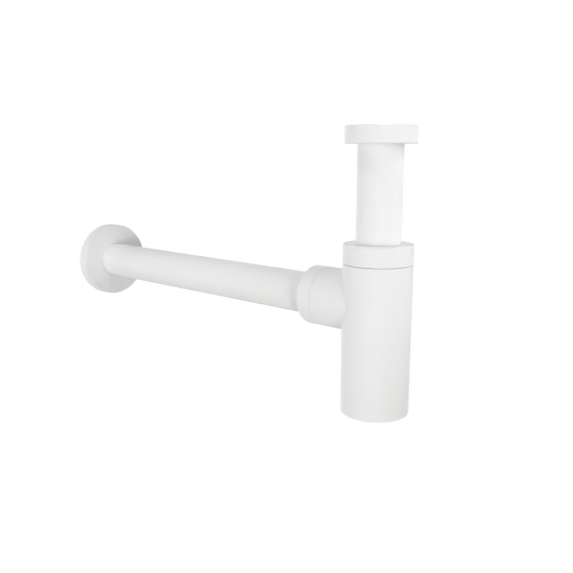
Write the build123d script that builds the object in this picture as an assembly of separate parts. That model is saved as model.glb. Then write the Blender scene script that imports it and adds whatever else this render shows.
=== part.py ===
import os

from build123d import *

# Decorative bottle trap: a wash basin's waste trap in matt white brass.
# Water comes down the inlet tube into the bottle, turns up round the tube's
# end and leaves by the outlet pipe, which runs level to the wall.
# The origin is the middle of the union nut's mouth, +Z is up along the inlet
# tube, and the outlet pipe runs along +Y. All sizes are in millimetres.

# Inlet tube
tube_diameter = 32.0
tube_wall = 1.0
tube_shown = 69.5
tube_end_gap = 6.5
collar_width = 3.2
collar_thickness = 1.2

# Union nut with its G 1 1/4 thread, which takes the basin's waste
inlet_nut_height = 12.0
inlet_nut_lip = 2.0
inlet_nut_wall = 4.0
thread_clearance = 0.275
thread_depth = 1.48
thread_relief = 0.1
washer_thickness = 2.0
washer_bore_gap = 0.5
slip_ring_thickness = 0.8

# Lock nut, which grips the inlet tube in the bottle's neck
lock_nut_height = 13.5
lock_nut_cap = 2.5
lock_nut_wall = 3.0
lock_nut_gap = 0.5
lock_ring_thickness = 1.0
lock_seal_width = 3.0
lock_seal_proud = 1.5
lock_seat_depth = 5.0
neck_wall = 2.7
neck_plug_depth = 5.0

# Bottle
bottle_length = 110.0
bottle_wall = 1.2
outlet_below_top = 30.0
outlet_hole_diameter = 30.0

# Outlet boss and its nut, which grips the outlet pipe
boss_reach = 45.0
outlet_nut_length = 11.7
outlet_nut_cap = 2.0
outlet_nut_wall = 2.3
outlet_nut_gap = 0.3
outlet_ring_thickness = 1.0
outlet_seal_width = 2.2
outlet_seal_proud = 1.3
outlet_seat_depth = 5.0
outlet_neck_wall = 1.7

# Outlet pipe
pipe_diameter = 32.0
pipe_wall = 1.0
pipe_stop_gap = 5.0
wall_distance = 330.0
spigot_length = 18.0
spigot_step = 0.2
spigot_start_gap = 2.0
spigot_chamfer = 0.5

# Wall flange and the rubber ring that holds it on the pipe
flange_diameter = 70.0
flange_depth = 10.0
flange_face = 2.0
flange_rim = 2.0
flange_hub_wall = 2.4
flange_hub_length = 7.5
grip_ring_section = 3.0

# Clean-out plug in the bottle's bottom
plug_thickness = 7.5
bottom_ring_wall = 2.4
plug_head_thickness = 2.0
plug_thread_step = 2.4
plug_neck_step = 0.7
plug_recess_wall = 3.5
plug_recess_depth = 3.0
gasket_thickness = 1.8
gasket_width = 2.6
slot_length = 24.0
slot_width = 3.0
slot_depth = 2.2

# Clearances and edges
slide_gap = 0.3
grip_gap = 0.05
guide_gap = 0.5
seat_gap = 0.3
thread_gap = 0.3
ring_squeeze = 0.1
edge_round = 0.5
seam_edge = 0.25
lead_in = 0.6

# Radii that follow from the sizes above
tube_radius = tube_diameter / 2
collar_radius = tube_radius + collar_width
thread_minor_radius = collar_radius + thread_clearance
relief_radius = thread_minor_radius + thread_depth + thread_relief
inlet_nut_radius = relief_radius + inlet_nut_wall
lock_mouth_radius = tube_radius + lock_seal_width
neck_radius = lock_mouth_radius + neck_wall
lock_bore_radius = neck_radius + thread_gap
bottle_radius = lock_bore_radius + lock_nut_wall
bottle_bore_radius = bottle_radius - bottle_wall
pipe_radius = pipe_diameter / 2
outlet_mouth_radius = pipe_radius + outlet_seal_width
outlet_neck_radius = outlet_mouth_radius + outlet_neck_wall
outlet_bore_radius = outlet_neck_radius + thread_gap
boss_radius = outlet_bore_radius + outlet_nut_wall
plug_head_radius = bottle_bore_radius - bottom_ring_wall - thread_gap
plug_thread_radius = plug_head_radius - plug_thread_step
plug_neck_radius = plug_thread_radius - plug_neck_step

# Heights along the inlet's axis
inlet_nut_bottom = -inlet_nut_height
lip_top = inlet_nut_bottom + inlet_nut_lip
slip_ring_top = lip_top + slip_ring_thickness
collar_top = slip_ring_top + collar_thickness
washer_top = collar_top + washer_thickness
lock_nut_top = inlet_nut_bottom - tube_shown
lock_cap_bottom = lock_nut_top - lock_nut_cap
lock_ring_bottom = lock_cap_bottom - lock_ring_thickness
neck_top = lock_ring_bottom - lock_seal_proud
lock_nut_bottom = lock_nut_top - lock_nut_height
bottle_top = lock_nut_bottom - lock_nut_gap
outlet_height = bottle_top - outlet_below_top
bottle_bottom = bottle_top - bottle_length
bottle_floor = bottle_bottom + plug_thickness
tube_end = bottle_floor + tube_end_gap
plug_head_top = bottle_bottom + plug_head_thickness
plug_shoulder = plug_head_top + gasket_thickness + ring_squeeze

# Distances from the inlet's axis along the outlet
outlet_nut_start = boss_reach + outlet_nut_gap
outlet_nut_end = outlet_nut_start + outlet_nut_length
outlet_cap_start = outlet_nut_end - outlet_nut_cap
outlet_ring_start = outlet_cap_start - outlet_ring_thickness
outlet_neck_end = outlet_ring_start - outlet_seal_proud
pipe_start = bottle_radius + pipe_stop_gap
flange_front = wall_distance - flange_depth
flange_back = flange_front + flange_face
flange_hub_end = flange_front + flange_hub_length
grip_middle = (flange_back + flange_hub_end) / 2
spigot_start = wall_distance + spigot_start_gap
pipe_end = spigot_start + spigot_length

# Cylinders stand on their lower end, and the outlet's pieces are made about Z
# and then laid along +Y
UPRIGHT = (Align.CENTER, Align.CENTER, Align.MIN)
along_outlet = Location((0, 0, outlet_height), (-90, 0, 0))


def turned(*outline):
    """A solid turned about Z from an outline of (radius, height) points."""
    return revolve(Plane.XZ * make_face(Polyline(*outline, close=True)), Axis.Z)


def ring(outer_radius, inner_radius, bottom, top):
    """A plain ring about Z between two heights."""
    return turned(
        (inner_radius, bottom),
        (outer_radius, bottom),
        (outer_radius, top),
        (inner_radius, top),
    )


def rim(solid, radius, height):
    """The round edges of one radius at one height."""
    circles = solid.edges().filter_by(GeomType.CIRCLE)
    same_radius = circles.filter_by(lambda edge: abs(edge.radius - radius) < 0.001)
    return same_radius.filter_by(lambda edge: abs(edge.center().Z - height) < 0.001)


def compression_nut(outer, bore, hole, start, cap_start, end):
    """A cylinder nut with a threaded bore and a cap that the pipe passes."""
    nut = turned(
        (bore, start),
        (outer, start),
        (outer, end),
        (hole, end),
        (hole, cap_start),
        (bore, cap_start),
    )
    nut = chamfer(rim(nut, bore, start), lead_in)
    nut = chamfer(rim(nut, outer, start), seam_edge)
    return fillet(rim(nut, outer, end), edge_round)


def cone_seal(pipe, mouth, seat_end, seat_start, top):
    """A rubber ring whose taper fits the neck's seat with a small gap."""
    inner = pipe + grip_gap
    tip = pipe + guide_gap
    return turned(
        (inner, seat_end + seat_gap),
        (tip, seat_end + seat_gap),
        (mouth - seat_gap, seat_start),
        (mouth - seat_gap, top),
        (inner, top),
    )


def inlet_nut():
    """Union nut: G 1 1/4 thread over a relief and an inward lip."""
    hole = tube_radius + slide_gap
    nut = turned(
        (hole, inlet_nut_bottom),
        (inlet_nut_radius, inlet_nut_bottom),
        (inlet_nut_radius, 0),
        (thread_minor_radius, 0),
        (thread_minor_radius, washer_top),
        (relief_radius, washer_top),
        (relief_radius, lip_top),
        (hole, lip_top),
    )
    nut = fillet(rim(nut, inlet_nut_radius, 0), edge_round)
    return fillet(rim(nut, inlet_nut_radius, inlet_nut_bottom), edge_round)


def inlet_slip_ring():
    """Thin nylon ring that lets the nut turn under the tube's collar."""
    return ring(collar_radius, tube_radius + slide_gap, lip_top, slip_ring_top)


def inlet_tube():
    """Brass tube with a rolled collar, which dips into the bottle."""
    bore = tube_radius - tube_wall
    tube = turned(
        (bore, tube_end),
        (tube_radius, tube_end),
        (tube_radius, slip_ring_top),
        (collar_radius, slip_ring_top),
        (collar_radius, collar_top),
        (bore, collar_top),
    )
    return chamfer(rim(tube, bore, collar_top), tube_wall / 2)


def inlet_washer():
    """Flat rubber washer between the basin's waste and the collar."""
    bore = tube_radius - tube_wall + washer_bore_gap
    return ring(collar_radius, bore, collar_top, washer_top)


def lock_nut():
    """Nut on the bottle's neck, as wide as the bottle."""
    return compression_nut(
        bottle_radius,
        lock_bore_radius,
        tube_radius + slide_gap,
        lock_nut_bottom,
        lock_cap_bottom,
        lock_nut_top,
    )


def lock_friction_ring():
    """Nylon ring between the lock nut's cap and the seal."""
    return ring(
        lock_mouth_radius,
        tube_radius + slide_gap,
        lock_ring_bottom,
        lock_cap_bottom,
    )


def lock_cone_seal():
    """Tapered rubber seal round the inlet tube."""
    return cone_seal(
        tube_radius,
        lock_mouth_radius,
        neck_top - lock_seat_depth,
        neck_top,
        lock_ring_bottom,
    )


def neck_ring():
    """Turned neck in the bottle's top, with a thread and a tapered seat."""
    seat_end = neck_top - lock_seat_depth
    bore = tube_radius + guide_gap
    neck = turned(
        (bore, bottle_top - neck_plug_depth),
        (bottle_bore_radius, bottle_top - neck_plug_depth),
        (bottle_bore_radius, bottle_top),
        (neck_radius, bottle_top),
        (neck_radius, neck_top),
        (lock_mouth_radius, neck_top),
        (bore, seat_end),
    )
    return chamfer(rim(neck, neck_radius, neck_top), lead_in)


def bottle():
    """Bottle's wall, a brass tube with the outlet's hole in its side."""
    shell = ring(bottle_radius, bottle_bore_radius, bottle_bottom, bottle_top)
    shell = chamfer(rim(shell, bottle_radius, bottle_bottom), seam_edge)
    shell = chamfer(rim(shell, bottle_radius, bottle_top), seam_edge)
    hole = Cylinder(outlet_hole_diameter / 2, bottle_radius, align=UPRIGHT)
    return shell - along_outlet * hole


def outlet_boss():
    """Turned boss, cut to the bottle's round side, with a neck and a seat."""
    seat_end = outlet_neck_end - outlet_seat_depth
    bore = pipe_radius + guide_gap
    boss = turned(
        (bore, 0),
        (boss_radius, 0),
        (boss_radius, boss_reach),
        (outlet_neck_radius, boss_reach),
        (outlet_neck_radius, outlet_neck_end),
        (outlet_mouth_radius, outlet_neck_end),
        (bore, seat_end),
    )
    boss = chamfer(rim(boss, outlet_neck_radius, outlet_neck_end), lead_in)
    boss = chamfer(rim(boss, boss_radius, boss_reach), seam_edge)
    core = Cylinder(bottle_radius, bottle_length + boss_radius * 2)
    return along_outlet * boss - Pos(0, 0, outlet_height) * core


def outlet_nut():
    """Nut on the boss's neck, as wide as the boss."""
    return along_outlet * compression_nut(
        boss_radius,
        outlet_bore_radius,
        pipe_radius + slide_gap,
        outlet_nut_start,
        outlet_cap_start,
        outlet_nut_end,
    )


def outlet_friction_ring():
    """Nylon ring between the outlet nut's cap and the seal."""
    return along_outlet * ring(
        outlet_mouth_radius,
        pipe_radius + slide_gap,
        outlet_ring_start,
        outlet_cap_start,
    )


def outlet_cone_seal():
    """Tapered rubber seal round the outlet pipe."""
    return along_outlet * cone_seal(
        pipe_radius,
        outlet_mouth_radius,
        outlet_neck_end - outlet_seat_depth,
        outlet_neck_end,
        outlet_ring_start,
    )


def outlet_pipe():
    """Level pipe, turned down a little where it enters the wall."""
    bore = pipe_radius - pipe_wall
    spigot = pipe_radius - spigot_step
    pipe = turned(
        (bore, pipe_start),
        (pipe_radius, pipe_start),
        (pipe_radius, spigot_start),
        (spigot, spigot_start),
        (spigot, pipe_end),
        (bore, pipe_end),
    )
    return along_outlet * chamfer(rim(pipe, spigot, pipe_end), spigot_chamfer)


def wall_flange():
    """Round flange, open at the back, with a hub that holds its ring."""
    hole = pipe_radius + slide_gap
    groove = pipe_radius + grip_gap + grip_ring_section + ring_squeeze
    hub = groove + flange_hub_wall
    rim_bore = flange_diameter / 2 - flange_rim
    flange = turned(
        (hole, flange_front),
        (flange_diameter / 2, flange_front),
        (flange_diameter / 2, wall_distance),
        (rim_bore, wall_distance),
        (rim_bore, flange_back),
        (hub, flange_back),
        (hub, flange_hub_end),
        (hole, flange_hub_end),
    )
    half_groove = grip_ring_section / 2 + ring_squeeze
    flange -= ring(groove, hole, grip_middle - half_groove, grip_middle + half_groove)
    return along_outlet * fillet(rim(flange, flange_diameter / 2, flange_front), edge_round)


def flange_grip_ring():
    """Rubber ring that holds the flange where it is put on the pipe."""
    section_radius = grip_ring_section / 2
    middle_radius = pipe_radius + grip_gap + section_radius
    return along_outlet * Pos(0, 0, grip_middle) * Torus(middle_radius, section_radius)


def bottom_ring():
    """Threaded ring in the bottle's bottom, with a step for the plug's head."""
    head_bore = plug_head_radius + thread_gap
    thread_bore = plug_thread_radius + thread_gap
    return turned(
        (head_bore, bottle_bottom),
        (bottle_bore_radius, bottle_bottom),
        (bottle_bore_radius, bottle_floor),
        (thread_bore, bottle_floor),
        (thread_bore, plug_shoulder),
        (head_bore, plug_shoulder),
    )


def cleanout_plug():
    """Screw plug, level with the bottom, with a slot for a coin."""
    recess_radius = plug_thread_radius - plug_recess_wall
    recess_floor = bottle_floor - plug_recess_depth
    plug = turned(
        (0, bottle_bottom),
        (plug_head_radius, bottle_bottom),
        (plug_head_radius, plug_head_top),
        (plug_neck_radius, plug_head_top),
        (plug_neck_radius, plug_shoulder),
        (plug_thread_radius, plug_shoulder),
        (plug_thread_radius, bottle_floor),
        (recess_radius, bottle_floor),
        (recess_radius, recess_floor),
        (0, recess_floor),
    )
    plug = chamfer(rim(plug, plug_head_radius, bottle_bottom), seam_edge)
    slot = SlotOverall(slot_length, slot_width)
    return plug - Pos(0, 0, bottle_bottom) * extrude(slot, slot_depth)


def cleanout_gasket():
    """Flat rubber gasket on the plug's head."""
    bore = plug_neck_radius + grip_gap
    return ring(bore + gasket_width, bore, plug_head_top, plug_head_top + gasket_thickness)


pieces = {
    "inlet_nut": inlet_nut(),
    "inlet_slip_ring": inlet_slip_ring(),
    "inlet_tube": inlet_tube(),
    "inlet_washer": inlet_washer(),
    "lock_nut": lock_nut(),
    "lock_friction_ring": lock_friction_ring(),
    "lock_cone_seal": lock_cone_seal(),
    "neck_ring": neck_ring(),
    "bottle": bottle(),
    "outlet_boss": outlet_boss(),
    "outlet_nut": outlet_nut(),
    "outlet_friction_ring": outlet_friction_ring(),
    "outlet_cone_seal": outlet_cone_seal(),
    "outlet_pipe": outlet_pipe(),
    "wall_flange": wall_flange(),
    "flange_grip_ring": flange_grip_ring(),
    "bottom_ring": bottom_ring(),
    "cleanout_plug": cleanout_plug(),
    "cleanout_gasket": cleanout_gasket(),
}

os.makedirs("parts", exist_ok=True)
for name, solid in pieces.items():
    export_step(solid, f"parts/{name}.step")
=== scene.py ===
import math

import bmesh
import bpy
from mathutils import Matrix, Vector


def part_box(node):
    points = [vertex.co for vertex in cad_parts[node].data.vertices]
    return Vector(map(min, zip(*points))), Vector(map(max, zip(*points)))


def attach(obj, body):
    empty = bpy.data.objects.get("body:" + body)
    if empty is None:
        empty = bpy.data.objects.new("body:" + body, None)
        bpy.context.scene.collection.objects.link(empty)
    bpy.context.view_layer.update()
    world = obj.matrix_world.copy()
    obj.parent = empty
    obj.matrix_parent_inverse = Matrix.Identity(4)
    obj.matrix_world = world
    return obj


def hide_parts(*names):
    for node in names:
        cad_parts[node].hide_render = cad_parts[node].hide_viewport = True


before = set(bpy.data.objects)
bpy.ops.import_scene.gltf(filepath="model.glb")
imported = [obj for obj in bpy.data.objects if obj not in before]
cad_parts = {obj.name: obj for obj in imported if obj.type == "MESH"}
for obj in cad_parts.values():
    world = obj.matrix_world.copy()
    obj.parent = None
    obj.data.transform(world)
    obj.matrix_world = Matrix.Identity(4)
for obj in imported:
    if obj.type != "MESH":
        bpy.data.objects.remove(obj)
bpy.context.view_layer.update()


# Bottle. A length of drawn brass tube with a hole in its side for the outlet.
# It is powder coated matt white once its neck, boss and bottom ring are brazed
# on, and its bore stays bare, because the coat is sprayed from outside.


def linear(hex_colour):
    """An sRGB hex colour as linear RGBA."""
    parts = [int(hex_colour[i : i + 2], 16) / 255 for i in (1, 3, 5)]
    return [p / 12.92 if p <= 0.04045 else ((p + 0.055) / 1.055) ** 2.4 for p in parts] + [1.0]


def add_node(material, kind, inputs, **settings):
    """A new node with its settings, its inputs set or linked. Gives its outputs."""
    node = material.node_tree.nodes.new(kind)
    for name, value in settings.items():
        setattr(node, name, value)
    for socket, value in inputs.items():
        if isinstance(value, bpy.types.NodeSocket):
            material.node_tree.links.new(value, node.inputs[socket])
        else:
            node.inputs[socket].default_value = value
    return node.outputs


def new_material(name):
    """A material with no nodes but the place on the piece, in metres."""
    material = bpy.data.materials.new(name)
    material.use_nodes = True
    material.node_tree.nodes.clear()
    return material, add_node(material, "ShaderNodeTexCoord", {})["Object"]


def grain(material, place, size, detail=1.0):
    """Soft noise from 0 to 1 whose blotches are about size millimetres across."""
    settings = {"Vector": place, "Scale": 1000 / size, "Detail": detail}
    return add_node(material, "ShaderNodeTexNoise", settings)["Fac"]


def between(material, share, low, high):
    """A number from low to high, by a share from 0 to 1."""
    ends = {"Value": share, "From Min": 0.3, "From Max": 0.7, "To Min": low, "To Max": high}
    return add_node(material, "ShaderNodeMapRange", ends)["Result"]


def mixed(material, share, first, second):
    """A colour from first to second, by a share from 0 to 1."""
    return add_node(material, "ShaderNodeMix", {0: share, 6: first, 7: second}, data_type="RGBA")[2]


def powder_coat(material, place):
    """Look of matt white polyester powder, baked on: hardly any sheen, even at a glance,
    because its surface is microscopically rough, and a shallow orange peel, with waves
    about 2.5 mm across that are drawn a little deep, so that they show."""
    drift = grain(material, place, 40)
    peel = between(material, grain(material, place, 2.5), 0, 0.05)
    grit = between(material, grain(material, place, 0.9), 0, 0.008)
    return {
        "colour": mixed(material, drift, linear("#EAEAE9"), linear("#EEEEEE")),
        "metal": 0.0,
        "roughness": between(material, drift, 0.78, 0.86),
        "specular": 0.2,
        "height": add_node(material, "ShaderNodeMath", {0: peel, 1: grit}, operation="ADD")[0],
    }


def from_axis(material, place, along_outlet):
    """Distance from the axis that a piece was turned about, and place along it."""
    split = add_node(material, "ShaderNodeSeparateXYZ", {0: place})
    across, along = split["Y"], split["Z"]
    if along_outlet:
        level = {0: split["Z"], 1: outlet_height}
        across = add_node(material, "ShaderNodeMath", level, operation="SUBTRACT")[0]
        along = split["Y"]
    arm = add_node(material, "ShaderNodeCombineXYZ", {"X": split["X"], "Y": across})[0]
    return add_node(material, "ShaderNodeVectorMath", {0: arm}, operation="LENGTH")[1], along


def machined_brass(material, radius, along):
    """Look of CW614N brass as the lathe leaves it: yellow, with fine rings round its axis.
    The rings are about 0.8 mm apart, coarser than a real tool's, so that they show."""
    rings = add_node(material, "ShaderNodeCombineXYZ", {"X": radius, "Y": along})[0]
    marks = grain(material, rings, 0.8, 2.0)
    return {
        "colour": mixed(material, marks, linear("#D2B473"), linear("#EAD29A")),
        "metal": 1.0,
        "roughness": between(material, marks, 0.24, 0.34),
        "height": between(material, marks, 0, 0.01),
    }


def surfaced(material, look):
    """Give a material its look, with heights in millimetres."""
    bump = {"Height": look["height"], "Distance": 0.001}
    inputs = {
        "Base Color": look["colour"],
        "Metallic": look["metal"],
        "Roughness": look["roughness"],
        "IOR": look.get("ior", 1.5),
        "Specular IOR Level": look.get("specular", 0.5),
        "Normal": add_node(material, "ShaderNodeBump", bump)["Normal"],
    }
    shader = add_node(material, "ShaderNodeBsdfPrincipled", inputs)["BSDF"]
    add_node(material, "ShaderNodeOutputMaterial", {"Surface": shader})
    return material


def rounded(outline):
    """Rows of (radius, height, finish) down an outline, with its corners rounded.

    Each corner is (radius, height, rounding, finish of the wall after it). A row just
    short of each end of a rounding keeps the flat walls beside it flat to the eye.
    """
    steps, hold = 4, 0.03
    rows = []
    for i, (radius, height, edge, finish) in enumerate(outline):
        corner = Vector((radius, height))
        if not edge:
            rows.append((radius, height, finish))
            continue
        before = outline[i - 1]
        back = (Vector(before[:2]) - corner).normalized()
        on = (Vector(outline[(i + 1) % len(outline)][:2]) - corner).normalized()
        half = back.angle(on) / 2
        middle = corner + (back + on).normalized() * edge / math.sin(half)
        start = corner + back * edge / math.tan(half) - middle
        end = corner + on * edge / math.tan(half) - middle
        sweep = start.angle(end)
        rows.append((*(middle + start + back * hold), before[3]))
        for step in range(steps + 1):
            turn = sweep * step / steps
            arm = (start * math.sin(sweep - turn) + end * math.sin(turn)) / math.sin(sweep)
            rows.append((*(middle + arm), finish))
        rows.append((*(middle + end + on * hold), finish))
    return rows


def threaded(rows, crest, pitch, depth):
    """Divide the wall at the crest's radius into rows, each with its depth of cut."""
    per_turn, fade = 16, pitch / 2
    cut_rows = []
    for i, (radius, height, finish) in enumerate(rows):
        cut_rows.append((radius, height, finish, 0.0))
        after = rows[(i + 1) % len(rows)]
        length = abs(after[1] - height)
        if max(abs(radius - crest), abs(after[0] - crest)) > 0.01 or length < fade:
            continue
        steps = round(length / pitch * per_turn)
        for step in range(1, steps):
            share = step / steps
            ends = min(share, 1 - share) * length / fade
            at = height + (after[1] - height) * share
            cut_rows.append((crest, at, finish, depth * min(1.0, ends)))
    return cut_rows


def groove(height, angle, pitch):
    """Cut of a rounded thread here, from 0 at its crest to 1 at its root.

    The crest and the root are each flat over a seventh of the pitch.
    """
    across = abs((height / pitch - angle / math.tau) % 1.0 * 2 - 1)
    rise = min(1.0, max(0.0, across * 1.4 - 0.2))
    return rise * rise * (3 - 2 * rise)


segments = 160
sharp_angle = math.radians(40)


def lathe(name, outline, finishes, thread=None, along_outlet=False, saddle=0.0, solid=False):
    """Turn an outline in millimetres into a mesh, about Z or about the outlet's axis.

    The thread is (crest radius, pitch, depth). A saddle is the radius of the round
    wall that the piece stands on. A solid piece has no bore, and ends in flat faces.
    """
    crest, pitch, depth = thread or (-1.0, 1.0, 0.0)
    rows = threaded(rounded(outline), crest, pitch, depth)
    points, faces, face_finish = [], [], []
    for i, (radius, height, finish, cut) in enumerate(rows):
        for segment in range(segments):
            angle = math.tau * segment / segments
            wall = radius + cut * groove(height, angle, pitch)
            x, y = wall * math.cos(angle), wall * math.sin(angle)
            z = max(height, math.sqrt(saddle**2 - x**2)) if saddle else height
            point = Vector((x, z, -y) if along_outlet else (x, y, z)) / 1000
            points.append(point + Vector((0, 0, outlet_height if along_outlet else 0)))
            row, above = i * segments, (i + 1) % len(rows) * segments
            beside = (segment + 1) % segments
            faces.append((row + segment, row + beside, above + beside, above + segment))
            face_finish.append(finish)
    if solid:
        last = len(points) - segments
        faces[last:] = [range(segments)[::-1], range(last, last + segments)]
        face_finish[last:] = [rows[0][2], rows[-1][2]]
    mesh = bpy.data.meshes.new(name)
    mesh.from_pydata(points, [], faces)
    for finish in finishes:
        mesh.materials.append(finish)
    mesh.polygons.foreach_set("material_index", face_finish)
    mesh.polygons.foreach_set("use_smooth", [True] * len(faces))
    mesh.set_sharp_from_angle(angle=sharp_angle)
    mesh.update()
    piece = bpy.data.objects.new(name, mesh)
    bpy.context.scene.collection.objects.link(piece)
    return piece


def turned_brass(name, along_outlet):
    """Bare machined brass all over, with its rings about one of the two axes."""
    material, place = new_material(name)
    return surfaced(material, machined_brass(material, *from_axis(material, place, along_outlet)))


def coated(name):
    """Powder coat all over."""
    material, place = new_material(name)
    return surfaced(material, powder_coat(material, place))


outlet_height = (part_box("outlet_pipe")[0].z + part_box("outlet_pipe")[1].z) / 2
coat = coated("powder_coated_brass")
brass = turned_brass("machined_brass", False)
brass_outlet = turned_brass("machined_brass_outlet", True)
COAT, BARE = 0, 1
bottle_bottom, bottle_top = (corner.z * 1000 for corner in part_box("bottle"))
bottle_radius = 25.0
bottle_wall = 1.2
bottle_edge = 0.5
seam_edge = 0.25
hole_radius = 15.0
hole_middle = outlet_height * 1000
hole_margin = 2.0
bottle = lathe(
    "bottle_wall",
    [
        (bottle_radius - bottle_wall, bottle_bottom, 0, COAT),
        (bottle_radius, bottle_bottom, bottle_edge, COAT),
        (bottle_radius, hole_middle - hole_radius - hole_margin, 0, COAT),
        (bottle_radius, hole_middle + hole_radius + hole_margin, 0, COAT),
        (bottle_radius, bottle_top, seam_edge, COAT),
        (bottle_radius - bottle_wall, bottle_top, 0, BARE),
        (bottle_radius - bottle_wall, hole_middle + hole_radius + hole_margin, 0, BARE),
        (bottle_radius - bottle_wall, hole_middle - hole_radius - hole_margin, 0, BARE),
    ],
    [coat, brass],
)
drill_ends = bottle_radius * 0.5, bottle_radius * 1.5
hole_outline = [(hole_radius, end, 0, BARE) for end in drill_ends]
drill = lathe("outlet_drill", hole_outline, [coat, brass], along_outlet=True, solid=True)
hole = bottle.modifiers.new("outlet_hole", "BOOLEAN")
hole.object = drill
drilled = bottle.evaluated_get(bpy.context.evaluated_depsgraph_get())
bottle_mesh = bpy.data.meshes.new_from_object(drilled)
bottle.modifiers.clear()
bottle.data = bottle_mesh
weld_distance = 1e-5
welded = bmesh.new()
welded.from_mesh(bottle_mesh)
bmesh.ops.remove_doubles(welded, verts=welded.verts, dist=weld_distance)
welded.to_mesh(bottle_mesh)
welded.free()
bottle_mesh.set_sharp_from_angle(angle=sharp_angle)
bpy.data.objects.remove(drill)
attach(bottle, "bottle")
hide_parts("bottle")


# Neck ring. Turned from brass bar with a thread for the lock nut and a tapered
# seat for the seal, and brazed in the bottle's top. It is masked when the bottle
# is coated, so only its foot, which the slit under the nut shows, has the coat.


neck_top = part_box("neck_ring")[1].z * 1000
neck_radius = 21.7
neck_mouth = 19.0
neck_bore = 16.5
neck_depth = 5.0
broken_edge = 0.15
bore_edge = 0.2
lead_in = 0.6
seat_depth = 5.0
lock_pitch = 2.0
lock_thread_depth = 1.0
coated_foot = 1.0
neck = lathe(
    "bottle_neck",
    [
        (neck_bore, bottle_top - neck_depth, bore_edge, BARE),
        (bottle_radius - bottle_wall, bottle_top - neck_depth, 0, BARE),
        (bottle_radius - bottle_wall, bottle_top, 0, COAT),
        (neck_radius, bottle_top, 0, COAT),
        (neck_radius, bottle_top + coated_foot, 0, BARE),
        (neck_radius, neck_top - lead_in, 0, BARE),
        (neck_radius - lead_in, neck_top, broken_edge, BARE),
        (neck_mouth, neck_top, broken_edge, BARE),
        (neck_bore, neck_top - seat_depth, 0, BARE),
    ],
    [coat, brass],
    thread=(neck_radius, lock_pitch, -lock_thread_depth),
)
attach(neck, "bottle")
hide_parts("neck_ring")


# Outlet boss. Turned from brass bar, cut to the bottle's round side and brazed on
# it over the hole. Its outside is coated with the bottle, and its neck with the
# thread and seat is masked and stays bare.

boss_radius = 22.5
boss_reach = 45.0
outlet_neck_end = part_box("outlet_boss")[1].y * 1000
outlet_neck_radius = 19.9
outlet_mouth = 18.2
outlet_pitch = 1.5
outlet_thread_depth = 0.8
outlet_seam_edge = 0.15
boss = lathe(
    "bottle_boss",
    [
        (neck_bore, 0, 0, BARE),
        (boss_radius, 0, 0, COAT),
        (boss_radius, boss_reach, outlet_seam_edge, COAT),
        (outlet_neck_radius, boss_reach, 0, COAT),
        (outlet_neck_radius, boss_reach + coated_foot, 0, BARE),
        (outlet_neck_radius, outlet_neck_end - lead_in, 0, BARE),
        (outlet_neck_radius - lead_in, outlet_neck_end, broken_edge, BARE),
        (outlet_mouth, outlet_neck_end, broken_edge, BARE),
        (neck_bore, outlet_neck_end - seat_depth, 0, BARE),
    ],
    [coat, brass_outlet],
    thread=(outlet_neck_radius, outlet_pitch, -outlet_thread_depth),
    along_outlet=True,
    saddle=bottle_radius,
)
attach(boss, "bottle")
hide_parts("outlet_boss")


# Bottom ring. A threaded ring turned from brass bar and brazed in the bottle's
# bottom. Only the edge that shows below is coated.

bottle_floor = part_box("bottom_ring")[1].z * 1000
plug_head_depth = 3.9
plug_shoulder = bottle_bottom + plug_head_depth
head_bore = 21.4
thread_bore = 19.0
plug_pitch = 1.5
plug_thread_depth = 0.8
turned_edge = 0.3
ring = lathe(
    "bottle_bottom_ring",
    [
        (head_bore, bottle_bottom, seam_edge, COAT),
        (bottle_radius - bottle_wall, bottle_bottom, 0, BARE),
        (bottle_radius - bottle_wall, bottle_floor, 0, BARE),
        (thread_bore, bottle_floor, turned_edge, BARE),
        (thread_bore, plug_shoulder, 0, BARE),
        (head_bore, plug_shoulder, 0, BARE),
    ],
    [coat, brass],
    thread=(thread_bore, plug_pitch, plug_thread_depth),
)
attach(ring, "bottle")
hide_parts("bottom_ring")


# Clean-out plug and its gasket. The plug is turned from brass bar, hollowed above
# and milled with a slot for a coin below. Its head is coated and its thread is bare.
# A flat ring of EPDM rubber on the head seals it.


def moulded_rubber(name):
    """Black EPDM, moulded: dull, with a faint bloom and a skin of fine pits."""
    material, place = new_material(name)
    bloom = grain(material, place, 6, 3.0)
    return surfaced(
        material,
        {
            "colour": mixed(material, bloom, linear("#1C1C1B"), linear("#2A2A29")),
            "metal": 0.0,
            "roughness": between(material, bloom, 0.62, 0.78),
            "height": between(material, grain(material, place, 1.0, 3.0), 0, 0.02),
            "ior": 1.52,
        },
    )


def slot_edge(angle, half_length, half_width):
    """Distance from a round-ended slot's middle to its edge, in this direction."""
    end = half_length - half_width
    along, across = abs(math.cos(angle)), abs(math.sin(angle))
    if across * end >= along * half_width:
        return half_width / across
    return end * along + math.sqrt(half_width**2 - (end * across) ** 2)


def clad(node, material):
    """Give a CAD node its finish."""
    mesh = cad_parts[node].data
    mesh.materials.clear()
    mesh.materials.append(material)


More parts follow.
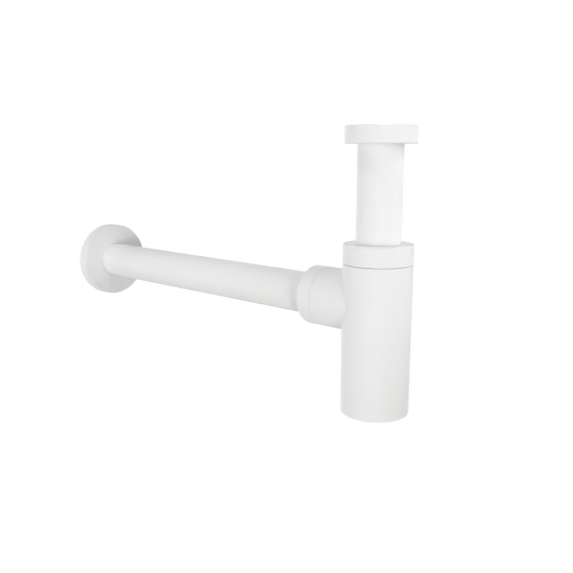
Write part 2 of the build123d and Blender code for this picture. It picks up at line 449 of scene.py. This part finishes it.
rubber = moulded_rubber("moulded_epdm_rubber")
clad("cleanout_gasket", rubber)
plug_radius = 21.1
plug_head_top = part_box("cleanout_gasket")[0].z * 1000
plug_neck = 18.0
plug_thread = 18.7
hollow_radius = 15.2
hollow_depth = 3.0
slot_depth = 2.2
slot_half_length = 12.0
slot_half_width = 1.5
slot_chamfer = 0.3
plug = lathe(
    "bottle_cleanout_plug",
    [
        (slot_half_length, bottle_bottom + slot_depth, 0, COAT),
        (slot_half_length, bottle_bottom + slot_chamfer, 0, COAT),
        (slot_half_length, bottle_bottom, 0, COAT),
        (plug_radius, bottle_bottom, turned_edge, COAT),
        (plug_radius, plug_head_top, 0, BARE),
        (plug_neck, plug_head_top, 0, BARE),
        (plug_neck, plug_shoulder, 0, BARE),
        (plug_thread, plug_shoulder, 0, BARE),
        (plug_thread, bottle_floor, turned_edge, BARE),
        (hollow_radius, bottle_floor, turned_edge, BARE),
        (hollow_radius, bottle_floor - hollow_depth, 0, BARE),
    ],
    [coat, brass],
    thread=(plug_thread, plug_pitch, -plug_thread_depth),
    solid=True,
)
for row, wider in enumerate((0, 0, slot_chamfer)):
    for point in plug.data.vertices[row * segments : (row + 1) * segments]:
        angle = math.atan2(point.co.y, point.co.x)
        reach = slot_edge(angle, slot_half_length + wider, slot_half_width + wider) / 1000
        point.co.x, point.co.y = reach * math.cos(angle), reach * math.sin(angle)
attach(plug, "plug")
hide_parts("cleanout_plug")


# Inlet tube with its washer and slip ring. The tube is drawn brass with a collar
# rolled on its top, coated outside and bare inside. The washer is flat EPDM and
# seals on the collar. The ring below it is punched from nylon and lets the nut turn.


def moulded_nylon(name):
    """Natural PA66: milky off-white, smooth, with a low waxy sheen."""
    material, place = new_material(name)
    cloud = grain(material, place, 5, 2.0)
    return surfaced(
        material,
        {
            "colour": mixed(material, cloud, linear("#E9E4D2"), linear("#F1EDDF")),
            "metal": 0.0,
            "roughness": between(material, cloud, 0.38, 0.48),
            "height": between(material, grain(material, place, 1.5, 2.0), 0, 0.01),
            "ior": 1.53,
        },
    )


nylon = moulded_nylon("moulded_nylon")
clad("inlet_washer", rubber)
clad("inlet_slip_ring", nylon)
tube_radius = 16.0
tube_bore = 15.0
cut_edge = 0.2
collar_fillet = 0.25
collar_edge = 0.5
mouth_edge = 0.6
collar_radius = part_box("inlet_tube")[1].x * 1000
collar_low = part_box("inlet_slip_ring")[1].z * 1000
tube_end, collar_top = (corner.z * 1000 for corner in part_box("inlet_tube"))
tube = lathe(
    "inlet_dip_tube",
    [
        (tube_bore, tube_end, cut_edge, COAT),
        (tube_radius, tube_end, cut_edge, COAT),
        (tube_radius, collar_low, collar_fillet, COAT),
        (collar_radius, collar_low, collar_edge, COAT),
        (collar_radius, collar_top, collar_edge, BARE),
        (tube_bore, collar_top, mouth_edge, BARE),
    ],
    [coat, brass],
)
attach(tube, "tube")
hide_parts("inlet_tube")


# Union nut. Turned from brass bar and coated outside. It hangs on the tube's
# collar, and its bare G 1 1/4 thread pulls the collar up against the basin's waste.

nut_low, nut_high = (corner * 1000 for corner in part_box("inlet_nut"))
washer_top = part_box("inlet_washer")[1].z * 1000
lip_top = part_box("inlet_slip_ring")[0].z * 1000
tube_gap = 0.12
tube_hole = tube_radius + tube_gap
bsp_minor = 19.475
bsp_root = 20.955
bsp_pitch = 2.309
relief_radius = 21.055
nut_edge = 0.5
union_nut = lathe(
    "inlet_union_nut",
    [
        (tube_hole, nut_low.z, bore_edge, COAT),
        (nut_high.x, nut_low.z, nut_edge, COAT),
        (nut_high.x, nut_high.z, nut_edge, COAT),
        (bsp_minor, nut_high.z, broken_edge, BARE),
        (bsp_minor, washer_top, 0, BARE),
        (relief_radius, washer_top, 0, BARE),
        (relief_radius, lip_top, bore_edge, BARE),
        (tube_hole, lip_top, 0, BARE),
    ],
    [coat, brass],
    thread=(bsp_minor, bsp_pitch, bsp_root - bsp_minor),
)
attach(union_nut, "union_nut")
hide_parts("inlet_nut")


# Lock nut with its friction ring and seal. The nut is turned from brass bar, as
# wide as the bottle, coated outside and bare in its thread. The nylon ring lets
# it turn on the tapered EPDM seal, which it squeezes round the tube.


def compression_nut(name, bore, outer, ends, edge, cap, finishes, thread, along_outlet=False):
    """A nut from its open end to its capped end, both in millimetres along the axis.

    The edge is the rounding at its open end, where it meets what it screws on.
    """
    start, end = ends
    return lathe(
        name,
        [
            (bore + lead_in, start, broken_edge, COAT),
            (outer, start, edge, COAT),
            (outer, end, nut_edge, COAT),
            (tube_hole, end, bore_edge, COAT),
            (tube_hole, end - cap, 0, BARE),
            (bore, end - cap, 0, BARE),
            (bore, start + lead_in, 0, BARE),
        ],
        finishes,
        thread=thread,
        along_outlet=along_outlet,
    )


clad("lock_friction_ring", nylon)
clad("lock_cone_seal", rubber)
lock_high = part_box("lock_nut")[1].z * 1000
lock_slit = 0.32
lock_bore = 22.0
lock_cap = 2.5
lock_nut = compression_nut(
    "bottle_lock_nut",
    lock_bore,
    bottle_radius,
    (bottle_top + lock_slit, lock_high),
    seam_edge,
    lock_cap,
    [coat, brass],
    (lock_bore, lock_pitch, lock_thread_depth),
)
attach(lock_nut, "lock_nut")
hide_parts("lock_nut")


# Outlet pipe. Drawn brass tube, coated outside. Its bore and the turned-down end
# that enters the wall's seal stay bare.

pipe_start, pipe_end = (corner.y * 1000 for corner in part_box("outlet_pipe"))
turned_length = 18.0
turned_start = pipe_end - turned_length
turned_radius = 15.8
lead_edge = 0.4
pipe = lathe(
    "outlet_level_pipe",
    [
        (tube_bore, pipe_start, cut_edge, COAT),
        (tube_radius, pipe_start, cut_edge, COAT),
        (tube_radius, turned_start, 0, BARE),
        (turned_radius, turned_start, 0, BARE),
        (turned_radius, pipe_end, lead_edge, BARE),
        (tube_bore, pipe_end, cut_edge, BARE),
    ],
    [coat, brass_outlet],
    along_outlet=True,
)
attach(pipe, "pipe")
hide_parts("outlet_pipe")


# Outlet nut with its friction ring and seal. They are made as the lock nut and its
# own are, smaller, and hold the pipe in the boss. The nut is as wide as the boss, so
# that only a fine line shows between them.

clad("outlet_friction_ring", nylon)
clad("outlet_cone_seal", rubber)
outlet_nut_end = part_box("outlet_nut")[1].y * 1000
outlet_slit = 0.2
outlet_bore = 20.2
outlet_cap = 2.0
outlet_nut = compression_nut(
    "bottle_outlet_nut",
    outlet_bore,
    boss_radius,
    (boss_reach + outlet_slit, outlet_nut_end),
    outlet_seam_edge,
    outlet_cap,
    [coat, brass_outlet],
    (outlet_bore, outlet_pitch, outlet_thread_depth),
    along_outlet=True,
)
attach(outlet_nut, "outlet_nut")
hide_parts("outlet_nut")


# Wall flange with its grip ring. The flange is turned brass, open at the back and
# coated all over. A round ring of EPDM in its hub holds it where it is pushed.

clad("flange_grip_ring", rubber)
flange_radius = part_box("wall_flange")[1].x * 1000
flange_front, flange_end = (corner.y * 1000 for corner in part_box("wall_flange"))
ring_start, ring_end = (corner.y * 1000 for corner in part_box("flange_grip_ring"))
flange_face = 2.0
rim_wall = 2.0
rim_edge = 0.2
rim_fillet = 0.8
hub_radius = 21.55
hub_length = 7.5
hub_end = flange_front + hub_length
hub_fillet = 0.5
groove_radius = 19.15
groove_gap = 0.1
flange = lathe(
    "outlet_wall_flange",
    [
        (tube_hole, flange_front, broken_edge, COAT),
        (flange_radius, flange_front, nut_edge, COAT),
        (flange_radius, flange_end, rim_edge, COAT),
        (flange_radius - rim_wall, flange_end, rim_edge, COAT),
        (flange_radius - rim_wall, flange_front + flange_face, rim_fillet, COAT),
        (hub_radius, flange_front + flange_face, hub_fillet, COAT),
        (hub_radius, hub_end, turned_edge, COAT),
        (tube_hole, hub_end, bore_edge, COAT),
        (tube_hole, ring_end + groove_gap, 0, COAT),
        (groove_radius, ring_end + groove_gap, 0, COAT),
        (groove_radius, ring_start - groove_gap, 0, COAT),
        (tube_hole, ring_start - groove_gap, 0, COAT),
    ],
    [coat],
    along_outlet=True,
)
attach(flange, "flange")
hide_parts("wall_flange")


# Floor. A wide sheet of matt white paper well below the trap, which hangs from a
# basin. It is as white as the background to the eye but for the trap's soft shadow,
# so near the trap it shows as paper, and further off as plain white.


def seen_directly(material):
    """1 for the camera and for what metal and glass show of the room, otherwise 0."""
    rays = add_node(material, "ShaderNodeLightPath", {})
    sight = {0: rays["Is Camera Ray"], 1: rays["Is Glossy Ray"]}
    most = add_node(material, "ShaderNodeMath", sight, operation="ADD")[0]
    every = {0: most, 1: rays["Is Transmission Ray"]}
    return add_node(material, "ShaderNodeMath", every, operation="ADD", use_clamp=True)[0]


white = linear("#FFFFFF")
floor_height, half_width = -0.75, 20
shadow_reach, plain_from = 0.2, 0.48
paper_glow = 0.5
paper, floor_place = new_material("matt_pale_paper")
fibre = grain(paper, floor_place, 60)
pale = mixed(paper, fibre, linear("#D0D0CF"), linear("#D4D4D3"))
under_trap = {0: floor_place, 1: (0, 0.16, floor_height)}
distance = add_node(paper, "ShaderNodeVectorMath", under_trap, operation="DISTANCE")["Value"]
fading = {"Value": distance, "From Min": shadow_reach, "From Max": plain_from}
far = add_node(paper, "ShaderNodeMapRange", fading)["Result"]
seen = seen_directly(paper)
sheet = add_node(paper, "ShaderNodeBsdfDiffuse", {"Color": pale})[0]
lift = add_node(paper, "ShaderNodeMath", {0: seen, 1: paper_glow}, operation="MULTIPLY")[0]
glow = add_node(paper, "ShaderNodeEmission", {"Color": white, "Strength": lift})[0]
near_look = add_node(paper, "ShaderNodeAddShader", {0: sheet, 1: glow})[0]
far_share = add_node(paper, "ShaderNodeMath", {0: far, 1: seen}, operation="MULTIPLY")[0]
plain = add_node(paper, "ShaderNodeEmission", {"Color": white})[0]
floor_look = add_node(paper, "ShaderNodeMixShader", {0: far_share, 1: near_look, 2: plain})[0]
add_node(paper, "ShaderNodeOutputMaterial", {"Surface": floor_look})
corners = [(-1, -1), (1, -1), (1, 1), (-1, 1)]
floor_mesh = bpy.data.meshes.new("floor")
floor_mesh.from_pydata(
    [(x * half_width, y * half_width, floor_height) for x, y in corners], [], [(0, 1, 2, 3)]
)
floor_mesh.materials.append(paper)
floor = bpy.data.objects.new("floor", floor_mesh)
bpy.context.scene.collection.objects.link(floor)


# Studio. Square softboxes round the trap in a white room: large ones for an even light,
# small ones for the edged shadows on the flange and the pipe, and ones with a grid,
# which light the bottle and its nuts alone.


def softbox(name, place, size, power, aim=(0, 0.12, -0.12), spread=180):
    """A square lamp that looks at a place on the trap. A grid may narrow its light."""
    lamp = bpy.data.lights.new(name, "AREA")
    lamp.energy = power
    lamp.size = size
    lamp.spread = math.radians(spread)
    holder = bpy.data.objects.new(name, lamp)
    holder.location = place
    holder.rotation_euler = (Vector(aim) - holder.location).to_track_quat("-Z", "Y").to_euler()
    holder.visible_camera = False
    bpy.context.scene.collection.objects.link(holder)


at_bottle = {"aim": (0, 0, -0.04), "spread": 35}
softbox("right_box", (2.17, 0.50, -0.12), 1.2, 12.0)
softbox("high_right_box", (0.84, 0.83, 1.79), 1.2, 5.7)
softbox("back_right_box", (0.75, 2.19, -0.12), 1.2, 14.0)
softbox("back_left_box", (-0.38, 2.29, -0.12), 1.2, 7.0)
softbox("wide_left_box", (-2.17, -0.26, -0.12), 1.2, 6.2)
softbox("left_box", (-0.61, 0.34, -0.12), 0.35, 0.77)
softbox("low_left_box", (-1.15, 0.54, -0.56), 0.35, 1.7)
softbox("high_left_box", (-0.48, 0.29, 0.97), 0.15, 2.65)
softbox("front_box", (-0.84, -1.69, -0.30), 0.2, 7.8)
softbox("low_front_box", (-0.43, -1.06, -0.47), 0.15, 1.6)
softbox("bottle_box", (-0.13, -0.74, 0.23), 0.2, 0.036, **at_bottle)
softbox("left_bottle_box", (-0.45, -0.65, 0.10), 0.2, 0.020, **at_bottle)
softbox("right_bottle_box", (0.58, -0.48, 0.23), 0.2, 0.046, **at_bottle)
softbox("high_bottle_box", (0.19, -0.53, 0.53), 0.2, 0.066, **at_bottle)

room = bpy.data.worlds.new("white_studio")
bpy.context.scene.world = room
room.use_nodes = True
room.node_tree.nodes.clear()
ambient_strength = 0.3
reach = {0: seen_directly(room), 2: ambient_strength, 3: 1.0}
strength = add_node(room, "ShaderNodeMix", reach)[0]
sky = add_node(room, "ShaderNodeBackground", {"Color": white, "Strength": strength})[0]
add_node(room, "ShaderNodeOutputWorld", {"Surface": sky})


# Camera, at the photo's view: a little above the outlet pipe, from the front left. Its
# place and lens were fitted to the trap's outlines in the photo.

camera = bpy.data.objects.new("camera", bpy.data.cameras.new("camera"))
camera.location = (-0.4032, -0.2700, -0.0172)
camera.rotation_euler = (math.radians(78.822), 0, math.radians(-48.507))
camera.data.lens = 43.02
bpy.context.scene.collection.objects.link(camera)
bpy.context.scene.camera = camera
bpy.context.scene.view_settings.view_transform = "Standard"
